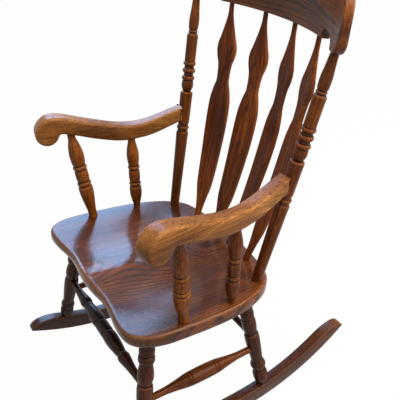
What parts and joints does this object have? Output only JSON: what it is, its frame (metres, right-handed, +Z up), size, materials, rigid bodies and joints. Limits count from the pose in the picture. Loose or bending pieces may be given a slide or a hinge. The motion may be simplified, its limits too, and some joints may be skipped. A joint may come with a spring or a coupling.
{
  "type": "rocking chair",
  "caption": "Wooden rocking chair: saddled seat, arrow slats under a bent crest rail, scrolled arms on turned spindles, turned legs and stretchers, and curved rockers.",
  "frame": {"origin": "middle of the bounding box, on the floor that the rockers stand on", "axes": "+Z up from the floor, +X to the sitter's left, +Y to the back of the chair, which faces -Y"},
  "size_m": [0.6572, 0.7584, 1.0833],
  "materials": {
    "stained_oak": "medium brown stained oak under a semi-gloss lacquer",
    "turned_oak": "turned oak in the same stain, a little darker in its grooves",
    "dark_oak": "turned oak where the stain lies darkest, semi-gloss",
    "steel": "plain wire and screw steel"
  },
  "bodies": {
    "root": {"seat": "stained_oak", "left_rocker": "stained_oak", "right_rocker": "stained_oak", "front_left_leg": "turned_oak", "rear_left_leg": "turned_oak", "front_right_leg": "turned_oak", "rear_right_leg": "turned_oak", "front_left_rocker_pin": "steel", "rear_left_rocker_pin": "steel", "front_right_rocker_pin": "steel", "rear_right_rocker_pin": "steel", "front_stretcher": "dark_oak", "back_stretcher": "dark_oak", "left_side_stretcher": "dark_oak", "right_side_stretcher": "dark_oak", "crest_rail": "stained_oak", "left_back_post": "turned_oak", "right_back_post": "turned_oak", "left_arm": "stained_oak", "right_arm": "stained_oak", "front_left_arm_spindle": "turned_oak", "rear_left_arm_spindle": "turned_oak", "front_right_arm_spindle": "turned_oak", "rear_right_arm_spindle": "turned_oak", "back_slat_1": "stained_oak", "back_slat_2": "stained_oak", "back_slat_3": "stained_oak", "back_slat_4": "stained_oak", "left_arm_screw": "steel", "right_arm_screw": "steel", "left_arm_plug": "stained_oak", "right_arm_plug": "stained_oak", "left_crest_pin": "steel", "right_crest_pin": "steel"}
  },
  "joints": []
}
